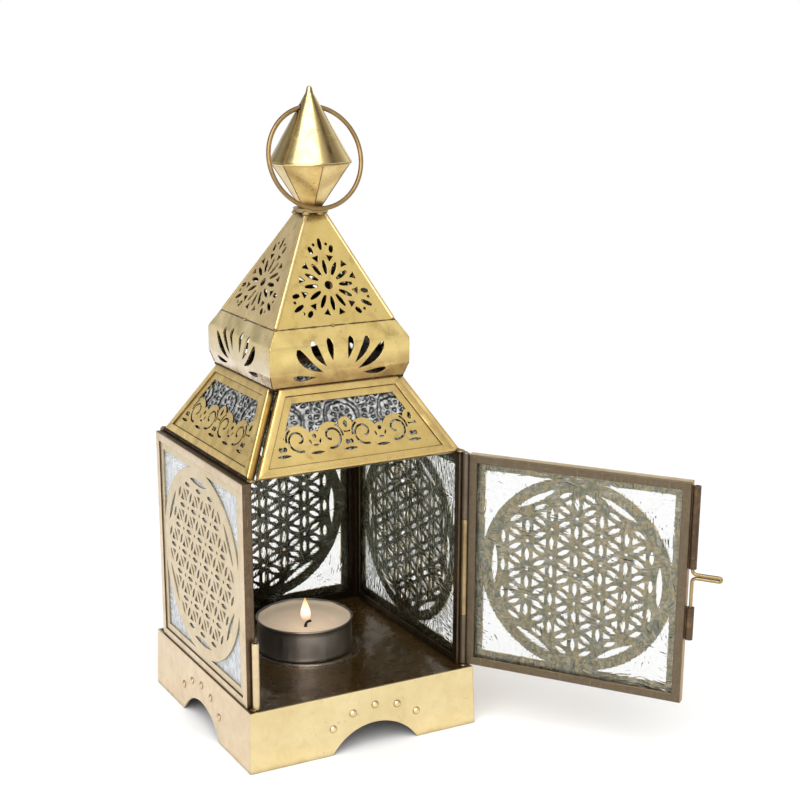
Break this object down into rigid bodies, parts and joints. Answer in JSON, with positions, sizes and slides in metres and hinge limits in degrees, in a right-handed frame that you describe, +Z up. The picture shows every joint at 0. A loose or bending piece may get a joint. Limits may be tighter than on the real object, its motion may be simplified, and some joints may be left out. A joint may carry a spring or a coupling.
{
  "type": "candle lantern",
  "caption": "Square brass candle lantern with pierced glazed sides, an open hinged door with a sliding bolt, a pyramid roof, a cone finial with a hanging ring, and a tealight.",
  "frame": {"origin": "centre of the foot, on the surface that the lantern stands on", "axes": "+Z up to the finial, -Y out of the door opening, +X toward the hinge side"},
  "size_m": [0.1507, 0.1711, 0.2405],
  "materials": {
    "brass": "satin, lightly scratched",
    "pale_brass": "satin, worn pale",
    "brown_brass": "matt, browned",
    "bright_brass": "bright",
    "dark_brass": "satin, darkened",
    "floor_brass": "glossy, darkened",
    "wavy_glass": "clear, wavy",
    "figured_glass": "clear, pressed with beaded rosettes",
    "tealight_metal": "satin",
    "wax": "soft, slightly translucent",
    "wick": "charred"
  },
  "bodies": {
    "lantern": {"base_front": "brass", "base_right": "brass", "base_back": "brass", "base_left": "pale_brass", "floor_plate": "floor_brass", "seat_ring": "floor_brass", "left_frame": "pale_brass", "left_glass": "wavy_glass", "left_grille": "pale_brass", "back_frame": "brown_brass", "back_glass": "wavy_glass", "back_grille": "brass", "right_frame": "brown_brass", "right_glass": "wavy_glass", "right_grille": "brass", "catch_tube": "bright_brass", "hinge_knuckle_middle": "bright_brass", "hinge_pin": "bright_brass", "shoulder_front_frame": "brass", "shoulder_front_glass": "figured_glass", "shoulder_front_grille": "brass", "shoulder_right_frame": "brass", "shoulder_right_glass": "figured_glass", "shoulder_right_grille": "brass", "shoulder_back_frame": "brass", "shoulder_back_glass": "figured_glass", "shoulder_back_grille": "brass", "shoulder_left_frame": "pale_brass", "shoulder_left_glass": "figured_glass", "shoulder_left_grille": "pale_brass", "collar_front": "brass", "collar_right": "brass", "collar_back": "brass", "collar_left": "pale_brass", "roof_front": "brass", "roof_right": "brass", "roof_back": "brass", "roof_left": "pale_brass", "finial_neck": "brass", "finial_cup": "brass", "finial_cone": "brass"},
    "door": {"door_frame": "brown_brass", "door_glass": "wavy_glass", "door_grille": "brown_brass", "hinge_knuckle_upper": "brown_brass", "hinge_knuckle_lower": "brown_brass", "latch_tube_upper": "brown_brass", "latch_tube_lower": "brown_brass"},
    "bolt": {"latch_bolt": "bright_brass"},
    "ring": {"hanging_ring": "dark_brass"},
    "candle": {"tealight_cup": "tealight_metal", "tealight_wax": "wax", "tealight_wick": "wick"}
  },
  "joints": [
    {"name": "door_hinge", "type": "hinge", "parent": "lantern", "child": "door", "pos_m": [0.0443, -0.04355, 0.0663], "axis": [0, 0, 1], "range_deg": [-126, 24]},
    {"name": "latch_slide", "type": "slide", "parent": "door", "child": "bolt", "axis": [0, 0, 1], "range_m": [-0.009, 0]},
    {"name": "ring_swing", "type": "hinge", "parent": "lantern", "child": "ring", "pos_m": [0.0021, 0, 0.23275], "axis": [-1, 0, 0], "range_deg": [-2, 333]},
    {"name": "tealight_lift", "type": "slide", "parent": "lantern", "child": "candle", "axis": [0, 0, 1], "range_m": [0, 0.02]}
  ]
}
